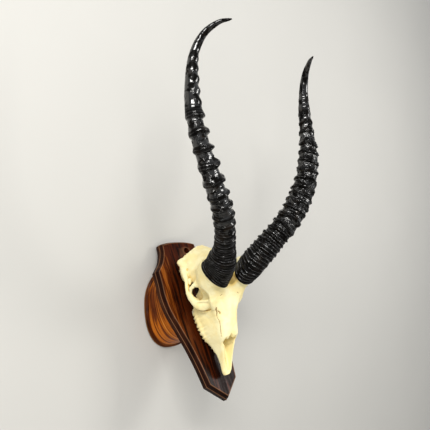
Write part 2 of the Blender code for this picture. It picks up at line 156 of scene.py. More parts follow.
def addPiece(name, surface, finish, nodes, sharpAngle=None):
    # mesh from points in metres, quads, triangles and the numbers kept at its points, turned so that its
    # volume, the sum of its corners' triple products, is positive
    points, quads, caps, values = surface
    corners = np.concatenate([quads[:, :3], quads[:, [0, 2, 3]], caps])
    a, b, c = (points[corners[:, n]] - points.mean(0) for n in range(3))
    if (a * np.cross(b, c)).sum() < 0:
        quads, caps = quads[:, ::-1], caps[:, ::-1]
    piece = addMesh(name, points.tolist(), quads.tolist() + caps.tolist(), finish)
    mesh = piece.data
    mesh.shade_smooth()
    if sharpAngle:
        mesh.set_sharp_from_angle(angle=math.radians(sharpAngle))
    for word, numbers in values.items():
        mesh.attributes.new(word, "FLOAT", "POINT").data.foreach_set("value", np.asarray(numbers, np.float32))
    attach(piece, "root")
    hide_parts(*nodes)
    print(name, len(quads) * 2 + len(caps), "triangles")
    return piece


# Materials


class Link:  # one socket in a material; sums on links become Math nodes

    def __init__(self, tree, socket):
        self.tree, self.socket = tree, socket

    def node(self, kind, values=None, output=0, **settings):
        # any node: its settings first, then its inputs by name or number, each a value or a link
        made = self.tree.nodes.new(kind)
        for word, value in settings.items():
            setattr(made, word, value)
        for word, value in (values or {}).items():
            fill(self.tree, made.inputs[word], value)
        return Link(self.tree, made.outputs[output])

    def math(self, operation, second=0.0, **settings):
        return self.node("ShaderNodeMath", {0: self, 1: second}, operation=operation, **settings)

    def __add__(self, other):
        return self.math("ADD", other)

    def __sub__(self, other):
        return self.math("SUBTRACT", other)

    def __rsub__(self, other):
        return self.node("ShaderNodeMath", {0: other, 1: self}, operation="SUBTRACT")

    def __mul__(self, other):
        return self.math("MULTIPLY", other)

    __radd__, __rmul__ = __add__, __mul__

    def clamped(self):
        return self.math("ADD", use_clamp=True)

    def between(self, low, high):  # 0 below low, 1 above high, eased between them
        values = {"Value": self, "From Min": low, "From Max": high}
        return self.node("ShaderNodeMapRange", values, interpolation_type="SMOOTHSTEP")

    def blend(self, first, second):  # first colour where this is 0, second where it is 1
        colours = [c if isinstance(c, Link) else (*c, 1) for c in (first, second)]
        return self.node("ShaderNodeMix", {0: self, 6: colours[0], 7: colours[1]}, output=2, data_type="RGBA")

    def noise(self, scale, detail, distortion=0.0):
        return self.node("ShaderNodeTexNoise", {
            "Vector": self, "Scale": scale, "Detail": detail, "Distortion": distortion})

    def turned(self, scale=(1, 1, 1), turn=(0, 0, 0)):
        return self.node("ShaderNodeMapping", {"Vector": self, "Scale": scale, "Rotation": turn})

    def axis(self, number):
        return self.node("ShaderNodeSeparateXYZ", {0: self}, output=number)

    def tinted(self, colour):  # colour times this number
        grey = self.node("ShaderNodeCombineColor", {0: self, 1: self, 2: self})
        return self.node(
            "ShaderNodeMix", {0: 1.0, 6: (*colour, 1), 7: grey}, output=2, data_type="RGBA",
            blend_type="MULTIPLY")

    def bump(self, distance, strength):
        return self.node("ShaderNodeBump", {"Height": self, "Distance": distance, "Strength": strength})


def fill(tree, socket, value):  # a link or a plain value into a socket
    if isinstance(value, Link):
        tree.links.new(value.socket, socket)
    else:
        socket.default_value = value


def newFinish(name):
    # material, a link at its Object coordinates, and a way to read a number kept at the points
    finish = bpy.data.materials.new(name)
    finish.use_nodes = True
    start = Link(finish.node_tree, None)

    def read(word):
        return start.node("ShaderNodeAttribute", output=2, attribute_name=word)

    return finish, start.node("ShaderNodeTexCoord", output=3), read


def setShader(finish, values):  # a number or a link for each of the shader's sockets, by its name
    shader = finish.node_tree.nodes["Principled BSDF"]
    for word, value in values.items():
        fill(finish.node_tree, shader.inputs[word], value)


# Noises are (scale, detail, distortion), and reliefs are (height in metres, strength)
boneTones = {
    "bone": (0.89, 0.75, 0.36), "pale": (0.92, 0.84, 0.50), "ochre": (0.82, 0.59, 0.18),
    # deep is painted shade for the deepest recesses; nose is a brighter ochre, painted light inside the nose
    # hollow
    "deep": (0.40, 0.27, 0.06), "nose": (0.98, 0.84, 0.42), "seam": (0.28, 0.15, 0.04), "roughness": 0.4,
    "cloud": (38, 4, 0.6), "freckle": (420, 3), "fibre": (900, 2), "relief": (0.00022, 0.7),
}


def makeBone():
    z = boneTones
    finish, place, read = newFinish("bone")
    recess, gap, nose = read("recess"), read("seam"), read("inside")
    cloud = place.noise(*z["cloud"])
    freckle = place.noise(*z["freckle"])
    seam = (gap + (freckle - 0.5) * 1.8).between(0.6, -0.1)
    # ochre where there is little room around the bone and near the seams: partly the bone's own stain, partly
    # painted shade
    stainAndShade = (recess + (cloud - 0.5) * 0.5 + gap.between(2.5, 0.0) * 0.3).between(0.16, 0.95)
    colour = cloud.between(0.36, 0.66).blend(z["bone"], z["pale"])
    colour = stainAndShade.blend(colour, z["ochre"])
    # painted light: a brighter ochre inside the nose hollow, lifting its shade
    colour = (nose * (0.75 + cloud * 0.5)).clamped().blend(colour, z["nose"])
    # painted shade: dark brown in the deepest recesses, and the painted shadow of the horns on the brow
    colour = (recess + (cloud - 0.5) * 0.4).between(0.85, 1.35).blend(colour, z["deep"])
    # dark lines: sutures, and along the cheek plate's crease a painted shadow
    colour = (seam * (0.4 + freckle)).clamped().blend(colour, z["seam"])
    colour = (freckle.between(0.66, 0.78) * 0.22).blend(colour, z["ochre"])
    fibre = place.turned((1, 0.25, 0.25), (boardTilt, 0, 0)).noise(*z["fibre"])
    relief = fibre * 0.5 + freckle * 0.6 - seam * 1.6
    setShader(finish, {
        "Base Color": colour, "Roughness": z["roughness"] + cloud * 0.2 + seam * 0.2,
        "Normal": relief.bump(*z["relief"])})
    return finish


enamelTones = {
    "crown": (0.86, 0.78, 0.58), "root": (0.62, 0.44, 0.2), "groove": (0.18, 0.09, 0.03), "roughness": 0.28,
    "cloud": (160, 3), "grain": (1400, 2), "relief": (0.0001, 0.6),
}


def makeEnamel():
    z = enamelTones
    finish, place, read = newFinish("enamel")
    cloud = place.noise(*z["cloud"])
    colour = (read("root") + (cloud - 0.5) * 0.4).clamped().blend(z["crown"], z["root"])
    colour = (read("groove") * (0.5 + cloud)).clamped().blend(colour, z["groove"])
    setShader(finish, {
        "Base Color": colour, "Roughness": z["roughness"] + cloud * 0.2,
        "Normal": place.noise(*z["grain"]).bump(*z["relief"])})
    return finish


hornTones = {
    "black": (0.003, 0.0027, 0.0024), "brown": (0.012, 0.008, 0.005), "dust": (0.05, 0.045, 0.04),
    # light grey for painted glints on the ridge crests near the foot
    "worn": (0.22, 0.22, 0.23), "roughness": 0.25,
    "polish": {"Specular IOR Level": 0.03, "Coat Roughness": 0.1, "Coat IOR": 1.65},
    "cloud": (60, 4, 0.8), "speck": (700, 3), "glintPatch": (150, 3, 0.5), "patch": (85, 3, 0.4),
    "lines": 2400.0,  # turn of the fine lines' wave, in radians a metre
    "relief": (0.00045, 0.7),
}


def makeHorn():
    z = hornTones
    finish, place, read = newFinish("horn")
    along, crest, foot, ridge = read("along"), read("crest"), read("foot"), read("ridge")
    cloud = place.noise(*z["cloud"])
    speck = place.noise(*z["speck"])
    glintPatch = place.noise(*z["glintPatch"])
    patch = place.noise(*z["patch"])
    colour = (cloud.between(0.52, 0.72) * 0.7).blend(z["black"], z["brown"])
    colour = (speck.between(0.62, 0.8) * foot * 0.5).blend(colour, z["dust"])
    # painted highlights: light grey glints on the ridge crests near the foot, in patches
    colour = (ridge.between(0.55, 0.95) * glintPatch.between(0.5, 0.6) * foot).blend(colour, z["worn"])
    lines = (along * z["lines"] + cloud * 9.0).math("SINE") * foot
    relief = lines * 0.3 + speck * 0.35 + cloud * 1.2
    smooth = patch.between(0.42, 0.56) * (1.15 - crest) * (1 - foot * 0.8)
    shine = smooth + ridge * patch.between(0.34, 0.46) - foot * 0.03
    setShader(finish, {
        "Base Color": colour, "Roughness": z["roughness"] + speck * 0.14 + foot * 0.08 - crest * 0.05,
        "Coat Weight": shine.clamped(), "Normal": relief.bump(*z["relief"]), **z["polish"]})
    return finish


boardTones = {
    "dark": (0.008, 0.0016, 0.0006), "red": (0.055, 0.009, 0.0012), "gold": (0.25, 0.065, 0.007),
    "pore": (0.005, 0.001, 0.0004), "worn": (0.34, 0.16, 0.075), "highlightStreak": (0.45, 0.17, 0.04),
    "lightEdge": (0.030, 0.066),  # metres from the middle line: where the gold starts and where it is full; nearer the middle the board is kept dark, a painted shadow of the skull
    "lightFrom": (-0.13, 0.06),  # the same, up the board; lower down it is kept dark, painted shade under the skull
}
wedgeTones = {
    "dark": (0.014, 0.0025, 0.0005), "red": (0.12, 0.023, 0.0015), "gold": (0.50, 0.13, 0.005),
    "pore": (0.02, 0.004, 0.001), "worn": (0.45, 0.18, 0.04), "highlightStreak": (0.62, 0.23, 0.03),
    "lightEdge": (0.078, 0.060),
    "lightFrom": (-1, -0.9),
}
woodGrain = {
    "bend": (14, 2), "streak": (105, 4, 0.8), "thread": (520, 2, 0.2), "pores": (1500, 1),
    "relief": (0.00025, 0.5), "roughness": 0.3, "coat": 0.25,
    "varnish": {"Specular IOR Level": 0.06, "Coat Roughness": 0.12},
}


def makeWood(name, tones, turn, layers=None):
    # stained wood, with painted shade and painted highlights: streaks are noise stretched along the grain, or
    # lie in sheets of equal number where layers names a number kept at the points
    z = {**woodGrain, **tones}
    finish, place, read = newFinish(name)
    plank = place.turned(turn=turn)
    bend = plank.turned((1, 1, 0.35)).noise(*z["bend"])
    # painted shade: the board is darker low down and in its middle, under the skull; the block is darker
    # towards its sides
    outOfPaintedShade = plank.axis(2).between(*z["lightFrom"])
    edge = plank.axis(0).math("ABSOLUTE").between(*z["lightEdge"])
    if layers:
        grain = plank.turned((0.1, 1, 0.1))
        wave = {0: read(layers) + bend * 0.01, 1: 0.0, 2: grain.axis(0) + grain.axis(2)}
    else:
        grain = plank.turned((1, 0.6, 0.075))
        wave = {0: grain.axis(0) + bend * 0.022, 1: grain.axis(1), 2: grain.axis(2)}
    wavy = grain.node("ShaderNodeCombineXYZ", wave)
    streak = wavy.noise(*z["streak"])
    thread = wavy.noise(*z["thread"])
    pores = wavy.turned((1, 1, 0.5)).noise(*z["pores"])
    tone = streak * 1.8 + thread * 0.4 - 0.6
    # red and gold held back in the board's middle and low down: painted shadow of the skull
    red = (tone + edge * 0.2 + outOfPaintedShade * 0.14 - 0.16).between(0.32, 0.54)
    gold = (tone + edge * 0.3 - 0.2).between(0.47, 0.72) * (0.1 + edge * 0.9) * (0.3 + outOfPaintedShade * 0.7)
    # painted highlights: the brightest streaks, on the board only high up and out from its middle
    highlightStreak = (tone + thread * 0.4).between(0.85, 1.25) * outOfPaintedShade * edge
    colour = red.blend(z["dark"], z["red"])
    colour = gold.blend(colour, z["gold"])
    colour = highlightStreak.blend(colour, z["highlightStreak"])
    colour = (pores.between(0.6, 0.72) * 0.6).blend(colour, z["pore"])
    # painted shade: the board's side band and the block's lip, turned away from the light, made dark
    colour = (read("side") * 0.85).blend(colour, z["dark"])
    # lighter along the edges: worn wood and painted highlight
    colour = (read("worn") * (0.35 + streak * 0.7)).clamped().blend(colour, z["worn"])
    setShader(finish, {
        "Base Color": colour, "Roughness": z["roughness"] + thread * 0.12,
        "Coat Weight": (streak * 1.4 + thread * 0.8 - 0.95).clamped() * z["coat"],
        "Normal": (thread * 0.6 + streak).bump(*z["relief"]), **z["varnish"]})
    return finish


bone, enamel, horn = makeBone(), makeEnamel(), makeHorn()
boardWood = makeWood("board_wood", boardTones, (boardTilt, 0, 0))
wedgeWood = makeWood("wedge_wood", wedgeTones, (0, 0, 0), "depth")
print("materials made")

# Shield board

board = {
    "thickness": 18.0, "corner": (39.4, 33), "shoulder": (78.5, 272), "topCorner": (48, 331.5), "top": 338,
    "side": [(45.5, 70), (54.8, 110), (66.5, 148), (78, 186), (81.5, 218), (79.5, 246)],
    "neck": [(61.5, 291), (51, 312)], "sideLine": 9.3, "stepDepth": 8.5, "stepWidth": 1.6, "stepRise": 0.4,
    "edgeWidth": 5.2, "faceMargin": 0.9, "holeCentre": (16.8, 313.5), "holeRadius": 5.0, "sinkRadius": 6.8,
    "sinkDepth": 4.5, "sinkEdge": (0.5, 0.4), "backRing": 12, "edgeRounding": 0.7, "edgeAngle": 26,
}


def shieldOutline(z):
    # right half: straight to the corner, a curve to the shoulder, a curve up the neck, then the crowned top,
    # whose height falls from the middle as the share of the way out to the power 2.6; then its mirror image
    side = curveThrough([z["corner"], *z["side"], z["shoulder"]], 64)
    neck = curveThrough([z["shoulder"], *z["neck"], z["topCorner"]], 26)[1:]
    foot = np.linspace((0, 0), z["corner"], 12)[:-1]
    share = np.linspace(1, 0, 22)[1:]
    top = np.stack([z["topCorner"][0] * share, z["top"] + (z["topCorner"][1] - z["top"]) * share ** 2.6], -1)
    half = np.concatenate([foot, side, neck, top])
    return np.concatenate([half, half[-2:0:-1] * (-1, 1)])


def insetOutline(outline, distance):
    # every edge moves in by the distance: each point goes along the sum of its two edges' normals
    edge = unit(np.roll(outline, -1, 0) - outline)
    normal = np.stack([-edge[:, 1], edge[:, 0]], -1)
    corner = normal + np.roll(normal, 1, 0)
    return outline + corner * 2 * distance / (corner ** 2).sum(1, keepdims=True)


def shieldSurface(z):
    # closed ring of loops: out along the back, up the side, over the step and the rounded edge, across the
    # face to the countersink and down the screw hole; radius lines run from the hole to the outline
    outline = shieldOutline(z)
    turn = np.linspace(0, math.pi / 2, 7)
    inner, outer, back = z["stepWidth"], z["edgeWidth"], -z["thickness"]
    rise = z["stepDepth"] - z["stepRise"]
    profile = [(0.0, back), (0.0, -z["sideLine"]), (0.0, -z["stepDepth"]), (inner, -rise)]
    profile += [(inner + (outer - inner) * (1 - math.cos(a)), -rise + rise * math.sin(a)) for a in turn[1:]]
    loops = [
        np.column_stack([insetOutline(outline, inset), np.full(len(outline), out)]) for inset, out in profile]
    last = len(profile) - 1
    rim = loops[last][:, :2]
    flat = np.zeros(len(rim))
    centre = np.array(z["holeCentre"])
    ray = unit(outline - centre)
    loops.append(np.column_stack([insetOutline(outline, outer + z["faceMargin"]), flat]))
    for share in (0.35, 0.7):
        loops.append(np.column_stack([rim + (centre + ray * z["sinkRadius"] - rim) * share, flat]))
    for radius, out in (
            (z["sinkRadius"] + z["sinkEdge"][0], 0), (z["sinkRadius"], -z["sinkEdge"][1]),
            (z["holeRadius"], -z["sinkDepth"]), (z["holeRadius"], back), (z["backRing"], back)):
        loops.append(np.column_stack([centre + ray * radius, flat + out]))
    points, quads, caps = roundGrid(np.array(loops), joinEnds=True)
    worn = np.zeros(len(loops))
    # the step, the face's edge twice and the countersink, made lighter: worn wood and painted highlight along
    # the edges
    worn[[2, last - 1, last, last + 4]] = 0.8, 0.2, 0.9, 0.4
    # painted shade on the side band and the rounded edge below the face
    shadedSide = (np.arange(len(loops)) < last) * 1.0
    values = {word: np.repeat(numbers, len(outline)) for word, numbers in (("worn", worn), ("side", shadedSide))}
    return offBoard(points), quads, caps, values


shield = addPiece("shield_board_wood", shieldSurface(board), boardWood, ["shield_board"])
bevel = shield.modifiers.new("edge", "BEVEL")  # narrow rounded edge that catches the light
bevel.width, bevel.segments = board["edgeRounding"] / 1000, 2
bevel.limit_method, bevel.angle_limit = "ANGLE", math.radians(board["edgeAngle"])
bevel.harden_normals = True

# Wedge block

wedge = {
    "halfWidth": 71.5, "middle": 14.0, "up": 70.0, "down": 100.5, "fullness": 0.85, "rise": 0.40, "gap": 0.3,
    "around": 220, "endNarrowing": 0.006,
    "lip": [
        (3.6, 0.0), (4.5, -0.9), (4.6, -3.4), (4.1, -4.9), (2.7, -6.0), (1.2, -6.8), (0.35, -7.9),
        (0, -9.6)],
    "levels": (0.25, 0.5, 0.75, 0.985), "grainFan": 0.065, "grainTilt": 0.0004, "sharpAngle": 50,
}


def wedgeSurface(z):
    # egg outline, an ellipse whose lower half is longer and fuller (cosine and sine to the power fullness),
    # grown by the lip's steps near the wall, then carried out and up until it meets the board's back
    a = circle(z["around"])
    reach, fullness = np.where(np.sin(a) > 0, [[z["up"]], [1.0]], [[z["down"]], [z["fullness"]]])
    wide, tall = (np.sign(v) * np.abs(v) ** fullness for v in (np.cos(a), np.sin(a)))
    rows = []
    for grow, depth in z["lip"]:
        rows.append(np.stack([
            (z["halfWidth"] + grow) * wide, np.full_like(a, depth),
            z["middle"] + (reach + grow) * tall - depth * z["rise"]], -1))
    lipEnd = rows[-1]
    out = boardAxes[2]
    climb = np.array((0, -1.0, z["rise"]))
    backPlane = boardTip - out * (board["thickness"] + z["gap"])
    far = (backPlane - lipEnd) @ out / (climb @ out)
    rows += [lipEnd + climb * (far * share)[:, None] for share in z["levels"]]
    inward = (np.array((0, 0, z["middle"])) - rows[0]) * (1, 0, 1)
    rows.append(lipEnd + climb * far[:, None] + inward * z["endNarrowing"])
    points, quads, caps = roundGrid(np.array(rows))
    level = np.interp(np.arange(len(rows)), [len(z["lip"]) - 1, len(rows) - 2], [0, 1])
    share = np.append(np.repeat(level, z["around"]), (0, 1))
    worn = np.zeros(len(rows))
    # a light line along the lip's rounded edge: painted highlight and wear
    worn[[1, 2]] = 0.8, 0.3
    # painted shade on the lip, which faces the wall
    shadedLip = 0.7 * (np.arange(len(rows)) < len(z["lip"]) - 1)
    values = {"depth": z["grainFan"] * share - z["grainTilt"] * points[:, 1]}
    for word, numbers in (("worn", worn), ("side", shadedLip)):
        values[word] = np.append(np.repeat(numbers, z["around"]), (0, 0))
    return points / 1000, quads, caps, values


addPiece(
    "wedge_block_wood", wedgeSurface(wedge), wedgeWood, ["wedge_block"], wedge["sharpAngle"])
print("board and block made")

# Horns

hornShape = {
    "path": [
        (43, 173.2, 113.5), (45.4, 181.3, 137), (62.8, 202.6, 179), (96.2, 237.5, 229.4),
        (131.2, 289.2, 264.7), (151, 337.4, 285.4), (159.3, 385, 301), (158.4, 428.7, 317.6),
        (154.4, 468.4, 338.4), (144.4, 493, 363.2), (129.8, 500.5, 389.5), (115.8, 496.1, 408)],
    "seatNormal": (-0.116, 0.12, 0.97), "seatShare": 0.12, "longAxis": (0.764, 0.645, 0.011),
    "halfWidths": [  # share of the length, along the long axis and across it
        (0, 33.5, 24.6), (0.022, 30.5, 24.4), (0.045, 27.4, 24.2), (0.07, 25, 24), (0.10, 23, 23.8),
        (0.16, 21.4, 23.4), (0.30, 18.6, 21.5), (0.44, 16.5, 20.5), (0.55, 15.2, 19.6), (0.62, 14.2, 16.4),
        (0.69, 12.6, 13.4), (0.75, 10.8, 11.4), (0.81, 8.3, 9.5), (0.87, 6.4, 7.8), (0.92, 5.0, 6.2),
        (0.96, 3.6, 4.3), (0.99, 2.1, 2.4), (1, 1.0, 1.0)],
    "rows": 690, "around": 134, "frontTurn": 0.6, "wanderSize": 22, "wrinkleSize": 7,
    "footFade": (70, 190), "lineFade": (360, 300),  # millimetres along the horn
    "ringFall": (0.08, 0.42), "ringRise": (0.8, 0.97),  # shares of the way from a ring to the next
    "knobWidth": 5.5, "hollow": (10, 5, 0.5),  # above a knob: how far, how wide, share of its height
}
hornRings = {  # millimetres along the horn, and how high a ring or knob stands there
    "left": {
        "rings": [
            2, 7, 12, 17, 22, 27, 33, 39, 46, 53, 61, 70, 80, 92, 107, 125, 142, 161, 180, 203, 230, 258,
            285, 313],
        "height": [
            (0, 1.0), (50, 1.3), (80, 2.2), (105, 3.2), (125, 4.2), (180, 5.8), (230, 6.4), (313, 5.8),
            (325, 0.6), (340, 0)],
        "knobs": [(337, 1.8), (357, 1.8), (377, 1.6), (395, 1.2), (411, 0.8)],
        "wrinkle": 0.4, "wander": 0.12, "fine": 1.25, "fineHeight": (0.5, 0.1),
        "girth": [
            (0, 1), (15, 1.04), (30, 1.1), (48, 1.08), (60, 0.96), (72, 0.87), (112, 0.86), (140, 0.96),
            (200, 1)],
        "seed": 3,
    },
    "right": {
        "rings": [
            3, 9, 15, 22, 30, 39, 50, 62, 75, 88, 102, 118, 136, 154, 171, 188, 205, 224, 244, 264, 286, 310,
            336, 355, 374],
        "height": [
            (0, 1.2), (40, 2.0), (80, 3.6), (110, 4.4), (200, 4.8), (290, 4.6), (340, 3.2), (374, 1.6),
            (385, 0.3), (400, 0)],
        "knobs": [(389, 1.2), (404, 0.8)],
        "wrinkle": 0.8, "wander": 0.3, "fine": 1.12, "fineHeight": (0.6, 0.45),
        "girth": [
            (0, 0.98), (15, 1.03), (30, 1.08), (60, 1.1), (100, 1.05), (130, 1.12), (190, 1.13), (280, 1.06),
            (400, 1.05)],
        "seed": 11,
    },
}


def hornSurface(z, own, side):
    # an ellipse carried along the path, its long axis turned with the path by the smallest turn at each step;
    # the rings are a wave over the marks passed: high at a mark, a quick fall, flat, a rise to the next
    fineness = 1
    rows, around = int(z["rows"] * fineness), int(z["around"] * fineness)
    path = curveThrough([(x * side, s + noseStart, h) for x, s, h in z["path"]], 1200)
    run = np.concatenate([[0], np.cumsum(np.linalg.norm(np.diff(path, axis=0), axis=1))])
    t = np.linspace(0, 1, rows)
    along = t * run[-1]
    spot = np.stack([np.interp(along, run, path[:, n]) for n in range(3)], -1)
    ahead = unit(np.gradient(spot, axis=0))
    seat = unit(np.array(z["seatNormal"]) * (side, 1, 1))
    normal = unit(seat + (ahead - seat) * easeStep(t / z["seatShare"])[:, None])
    axis = np.array(z["longAxis"]) * (side, 1, 1)
    longAxis = np.zeros_like(spot)
    for k in range(rows):  # each step keeps what of the last axis is square to the path
        axis = longAxis[k] = unit(axis - normal[k] * (axis @ normal[k]))
    cross = np.cross(normal, longAxis) * side
    a = circle(around)
    widths = np.array(z["halfWidths"])
    girth = readTable(along, own["girth"])
    wide, deep = ((np.interp(t, widths[:, 0], widths[:, n]) * girth)[:, None] for n in (1, 2))
    u, v = longAxis[:, None] * np.cos(a)[:, None], cross[:, None] * np.sin(a)[:, None]
    smooth = spot[:, None] + u * wide[..., None] + v * deep[..., None]
    up = along[:, None]
    foot = 1 - easeBetween(*z["footFade"], up)
    lineFade = easeBetween(*z["lineFade"], up)
    # rings, higher in front
    front = 0.7 - 0.3 * np.cos(a + z["frontTurn"])[None]
    wander = layeredLumps(smooth, z["wanderSize"], 2, own["seed"]) * own["wander"]
    phase = np.interp(up, own["rings"], np.arange(len(own["rings"]))) + wander
    part = phase - np.floor(phase)
    crest = 1 - easeBetween(*z["ringFall"], part) + easeBetween(*z["ringRise"], part)
    height = readTable(up, own["height"])
    lift = height * (crest - 0.5) * front
    wrinkles = layeredLumps(smooth * (1, 1.6, 1.6), z["wrinkleSize"], 3, own["seed"] + 5)
    lift += own["wrinkle"] * height / 4 * wrinkles
    # knobs on the front of the smooth part, each with a hollow above it
    facing = np.cos(a + z["frontTurn"] - math.pi)[None]
    above, width, depth = z["hollow"]
    for middle, size in own["knobs"]:
        lift += size * hill(up, middle, z["knobWidth"]) * hill(facing, 1, 1.0)
        lift -= depth * size * hill(up, middle + above, width) * hill(facing, 1, 1.2)
    # fine lines across the horn, whose height is another one at the foot
    lines = 1 - 2 * np.abs(np.sin(up * own["fine"] / 2 + 1.5 * wander + lumps(smooth, 16, 9))) ** 0.8
    low, high = own["fineHeight"]
    lift += (high + (low - high) * foot) * lines * easeStep(up / 5) * lineFade
    lift += 0.22 * layeredLumps(smooth, 9, 2, 21) * easeBetween(1, 0.9, t)[:, None]
    lift *= easeBetween(0, 4, up) * 0.7 + 0.3
    points, quads, caps = roundGrid(smooth + (u + v) * lift[..., None])
    values = {
        "along": np.append(np.repeat(along / 1000, around), (0, run[-1] / 1000)),
        "crest": np.append((crest * np.clip(height, 0, 1)).ravel(), (0, 0)),
        "foot": np.append((foot + np.zeros_like(lift)).ravel(), (1, 0)),
        "ridge": np.append((easeBetween(0.0, 0.8, lines) * lineFade).ravel(), (0, 0))}
    return offBoard(points), quads, caps, values


for word, side in (("left", -1), ("right", 1)):
    surface = hornSurface(hornShape, hornRings[word], side)
    addPiece(f"horn_{word}_sheath", surface, horn, [f"horn_{word}"])

print("horns made")

# Skull: one distance field, negative in the bone, in (across folded to one side, along from the nose, out)

